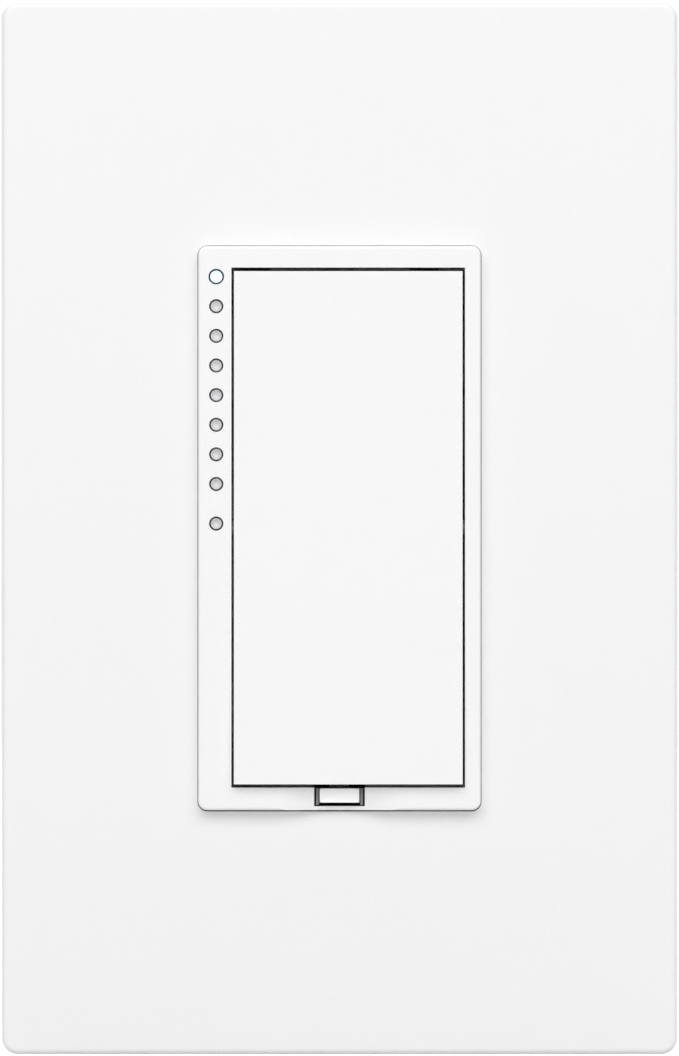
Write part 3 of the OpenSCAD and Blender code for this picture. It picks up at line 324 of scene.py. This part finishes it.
def glow(material, colour):
    """Gives a material a faint light of its own."""
    shader = material.node_tree.nodes["Principled BSDF"]
    shader.inputs["Emission Color"].default_value = (*colour, 1)
    shader.inputs["Emission Strength"].default_value = 1


def make_lit_lens():
    """The lit lens: it glows bluish white, a little stronger in some spots than in others."""
    material, tree, shader = new_material("lens_lit", (0.35, 0.4, 0.45), 0.12)
    texture = place_group(tree, MOULD_GRAIN, Grain_Size=0.6, Drift_Size=0.8)
    bump_from(tree, shader, texture.outputs["Height"], 0.002 * MM)
    dimmer, brighter = (0.5, 0.66, 0.74), (0.6, 0.74, 0.8)
    tint(tree, texture.outputs["Drift"], dimmer, brighter, shader.inputs["Emission Color"])
    shader.inputs["Emission Strength"].default_value = 1
    return material


lens_lit = make_lit_lens()
# The lit lens's sides and rim are dark navy with a faint blue glow: painted shade of the ring-shaped gap
# around it, tinted by the lamp's light.
lens_ring_painted_shade = moulded("lens_ring_painted_shade", (0.012, 0.03, 0.14), 0.2, grain=0.6, depth=0.002)
glow(lens_ring_painted_shade, (0.004, 0.02, 0.07))


# Making and finishing of pieces. Outlines and corners are in mm.


def add_block(sheet, low, high, edge=0.0, segments=2):
    """Adds a block between two corners, with its edges rounded."""
    verts = bmesh.ops.create_cube(sheet, size=1)["verts"]
    bmesh.ops.scale(sheet, verts=verts, vec=[h - l for l, h in zip(low, high)])
    bmesh.ops.translate(sheet, verts=verts, vec=[(l + h) / 2 for l, h in zip(low, high)])
    if edge:
        edges = list(dict.fromkeys(line for vert in verts for line in vert.link_edges))
        bmesh.ops.bevel(
            sheet, geom=edges, offset=edge, segments=segments, profile=0.5, affect="EDGES", material=-1
        )


def add_plate(sheet, low, high, corner_r):
    """Adds a flat plate that faces along Y, with rounded corners."""
    before = set(sheet.edges)
    add_block(sheet, low, high)
    thickness = high[1] - low[1]
    corners = [
        edge for edge in sheet.edges
        if edge not in before and abs(edge.verts[0].co.y - edge.verts[1].co.y) > thickness / 2
    ]
    bmesh.ops.bevel(
        sheet, geom=corners, offset=corner_r, segments=4, profile=0.5, affect="EDGES", material=-1
    )


def add_turned(sheet, outline, x=0.0, z=0.0, steps=32):
    """Adds a solid turned about a line along Y. The outline is (radius, y) from one pole to the other."""
    points = [sheet.verts.new((x + radius, y, z)) for radius, y in outline]
    line = [sheet.edges.new(pair) for pair in zip(points, points[1:])]
    bmesh.ops.spin(
        sheet, geom=points + line, cent=(x, 0, z), axis=(0, 1, 0), angle=2 * math.pi, steps=steps,
        use_merge=True,
    )


def add_coil(sheet, x, z, radius, wire_r, y0, y1, turns, steps=24):
    """Adds a compression spring along Y whose first and last half turns lie flat."""
    rise = (y1 - y0 - 2 * wire_r) / ((turns - 1) * steps)
    ring = bmesh.ops.create_circle(sheet, cap_ends=False, radius=wire_r, segments=8)["verts"]
    bmesh.ops.translate(sheet, verts=ring, vec=(x + radius, y0 + wire_r, z))
    end = ring + list(dict.fromkeys(line for vert in ring for line in vert.link_edges))
    for count, lift in ((steps // 2, 0), (round((turns - 1) * steps), rise), (steps // 2, 0)):
        end = bmesh.ops.spin(
            sheet, geom=end, cent=(x, 0, z), axis=(0, 1, 0), dvec=(0, lift, 0),
            angle=2 * math.pi * count / steps, steps=count,
        )["geom_last"]
    bmesh.ops.holes_fill(sheet, edges=[edge for edge in sheet.edges if edge.is_boundary], sides=0)


def finish_piece(name, sheet, body, materials, replaced=(), sharp_angle=35):
    """Makes an object of a mesh in mm, closed at its poles and turned outwards."""
    bmesh.ops.remove_doubles(sheet, verts=sheet.verts, dist=1e-4)
    bmesh.ops.recalc_face_normals(sheet, faces=sheet.faces)
    bmesh.ops.scale(sheet, verts=sheet.verts, vec=(MM, MM, MM))
    mesh = bpy.data.meshes.new(name)
    sheet.to_mesh(mesh)
    sheet.free()
    for material in materials:
        mesh.materials.append(material)
    mesh.shade_smooth()
    mesh.set_sharp_from_angle(angle=math.radians(sharp_angle))
    piece = bpy.data.objects.new(name, mesh)
    bpy.context.scene.collection.objects.link(piece)
    if replaced:
        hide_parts(*replaced)
    if body:
        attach(piece, body)
    return piece


def dress(material, *names):
    """Gives CAD nodes a material."""
    for name in names:
        for slot in nodes[name].material_slots:
            slot.material = material


def soften(name, width, segments=2, angle=30):
    """Rounds a CAD node's sharp edges with modifiers."""
    weld = nodes[name].modifiers.new("join", "WELD")
    weld.merge_threshold = 1e-6
    bevel = nodes[name].modifiers.new("soft_edges", "BEVEL")
    bevel.width = width * MM
    bevel.segments = segments
    bevel.limit_method = "ANGLE"
    bevel.angle_limit = math.radians(angle)
    bevel.harden_normals = False


dress(plate_white, "wall_plate")
dress(frame_white, "bezel", "paddle")
dress(adapter_grey, "plate_adapter")
dress(pipe_clear, "light_pipe")
dress(button_white, "set_button")
dress(slide_grey, "air_gap_slide")
dress(nylon, "plunger_upper", "plunger_lower", "board_spacers", "optocoupler")
dress(black_plastic, "carrier", "rear_housing")
dress(strap, "yoke")
# The film's black is painted shade for the gaps around the paddle.
dress(film_black, "strap_film")
dress(screw_steel, "adapter_screws", "triac_screw", "housing_screws")
dress(spring_steel, "spring_upper", "spring_lower")
dress(
    brass,
    "air_gap_bridge", "air_gap_contacts", "terminal_line", "terminal_load", "terminal_neutral",
    "terminal_screws", "ground_clamp",
)
dress(green_steel, "ground_screw")
dress(board_green, "logic_board", "power_board")
dress(
    chip_black,
    "tact_upper", "tact_lower", "tact_set", "microcontroller", "chip_resistors",
    "board_connector", "triac", "bridge_rectifier",
)
dress(chip_tan, "chip_capacitors")
dress(can_tin, "radio_module", "crystal")
dress(stem_red, "stem_upper", "stem_lower", "stem_set")
dress(thermal, "thermal_pad")
dress(ferrite, "choke_core", "transformer_core")
dress(copper_wire, "choke_winding")
dress(tape_yellow, "transformer_winding")
dress(case_yellow, "film_capacitor")
dress(sleeve_blue, "electrolytic_capacitor")
dress(disc_blue, "varistor")
dress(fuse_body, "fuse")
dress(lamp_clear, "indicator_leds")

soften("wall_plate", 0.08)
soften("bezel", 0.12)
soften("paddle", 0.18, 3)
soften("set_button", 0.12, 3)
soften("air_gap_slide", 0.06)
soften("plate_adapter", 0.15)
soften("yoke", 0.08)
soften("carrier", 0.1)
soften("rear_housing", 0.2)


# The clear strip with the nine lamp lenses


TOP_LAMP_Z = 29.53
LAMP_PITCH = 3.48
LAST_LAMP_DROP = 4.65
LENS_R = 0.64
LIT_LENS_R = 0.72
STRIP_FRONT_Y, STRIP_BACK_Y = -6.45, -5.25


def lamp_places():
    """Middle of each lens down the left rail, top first, in mm. The last stands apart."""
    heights = [TOP_LAMP_Z - LAMP_PITCH * step for step in range(8)]
    return heights + [heights[-1] - LAST_LAMP_DROP]


def lens_outline(rim, face):
    """A round lens with a dished face, from the middle of the dish to its foot in the strip."""
    dish = [(0, 0.34), (0.3, 0.31), (0.55, 0.23), (0.78, 0.1), (0.92, 0.01), (1, 0.05)]
    return [(rim * share, face + sunk) for share, sunk in dish] + [(rim, -6.4), (0.4, -6.2), (0, -6.2)]


def make_light_pipe():
    """Nine lenses on a strip, each with a rod behind it that reaches its lamp."""
    low, high = (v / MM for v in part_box("light_pipe"))
    x = (low.x + high.x) / 2
    rod = [(0, -5.5), (0.75, -5.5), (0.75, 5.1), (0.65, 5.2), (0, 5.2)]
    sheet = bmesh.new()
    for row, z in enumerate(lamp_places()):
        rim = LIT_LENS_R if row == 0 else LENS_R
        add_turned(sheet, lens_outline(rim, low.y), x, z)
        # On the top lens the dish glows, and its sides and rim take the dark navy painted shade of the ring
        # around it.
        if row == 0:
            for facet in sheet.faces:
                middle = facet.calc_center_median()
                in_dish = math.hypot(middle.x - x, middle.z - z) < rim * 0.98 and middle.y < -7
                facet.material_index = 1 if in_dish else 2
        add_turned(sheet, rod, x, z)
    add_block(sheet, (low.x, STRIP_FRONT_Y, low.z), (high.x, STRIP_BACK_Y, high.z), 0.15)
    finish_piece(
        "lamp_lenses", sheet, "chassis", (pipe_clear, lens_lit, lens_ring_painted_shade), ("light_pipe",), 50
    )


# The button's glossy face


CAP_BOTTOM_Z, CAP_TOP_Z = -32.25, -30.61
CAP_INSET = 0.01
CAP_PROUD, CAP_SUNK = 0.06, 0.1


def make_button_face():
    """A thin glossy cap with a rim, on the front of the set button."""
    low, high = (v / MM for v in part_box("set_button"))
    sheet = bmesh.new()
    front_low = (low.x + CAP_INSET, low.y - CAP_PROUD, CAP_BOTTOM_Z)
    back_high = (high.x - CAP_INSET, low.y + CAP_SUNK, CAP_TOP_Z)
    add_plate(sheet, front_low, back_high, 0.3)
    front = [face for face in sheet.faces if face.normal.y < -0.9]
    bmesh.ops.inset_region(sheet, faces=front, thickness=0.06, depth=0)
    bmesh.ops.inset_region(sheet, faces=front, thickness=0.1, depth=-0.05)
    finish_piece("button_face", sheet, "button", (button_white,), sharp_angle=60)


# The plungers' return springs


def make_spring(name):
    """A coil that is squeezed between the carrier and its plunger."""
    low, high = (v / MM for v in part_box(name))
    middle_x, middle_z = (low.x + high.x) / 2, (low.z + high.z) / 2
    sheet = bmesh.new()
    add_coil(sheet, middle_x, middle_z, radius=2, wire_r=0.18, y0=low.y, y1=high.y, turns=3)
    spring = finish_piece(f"{name}_coil", sheet, None, (spring_steel,), (name,), 60)
    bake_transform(spring)


# The bare label on the housing's back


LABEL_W, LABEL_H = 23.6, 33.6
LABEL_SUNK, LABEL_BELOW = 0.31, 0.19


def make_label():
    """A foil label with a thin dark border and nothing printed on it, in the recess of the housing."""
    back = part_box("rear_housing")[1].y / MM
    foil, line = 0, 1
    sheet = bmesh.new()
    for inset, raised, corner, finish in ((0, 0, 0.9, foil), (0.7, 0.01, 0.6, line), (0.95, 0.02, 0.5, foil)):
        before = set(sheet.faces)
        half_w, half_h = LABEL_W / 2 - inset, LABEL_H / 2 - inset
        low = (-half_w, back - LABEL_SUNK, -half_h)
        high = (half_w, back - LABEL_BELOW + raised, half_h)
        add_plate(sheet, low, high, corner)
        for face in sheet.faces:
            if face not in before:
                face.material_index = finish
    finish_piece("blank_label", sheet, "chassis", (label_foil, label_line))


make_light_pipe()
make_button_face()
make_spring("spring_upper")
make_spring("spring_lower")
make_label()


# Studio

SOFTBOX_SIZE = (1.8, 0.8)

make_floor(height=-0.0645, half_width=3, lift=0.6)
make_camera(distance=1.0416, focal_length=300)
make_world(dome_strength=0.48)
add_softbox("key", (0, -1.0, 0.75), SOFTBOX_SIZE, 11.2)
add_softbox("fill_behind", (0, 1.0, 0.75), SOFTBOX_SIZE, 7.0)

bpy.context.scene.view_settings.view_transform = "Standard"
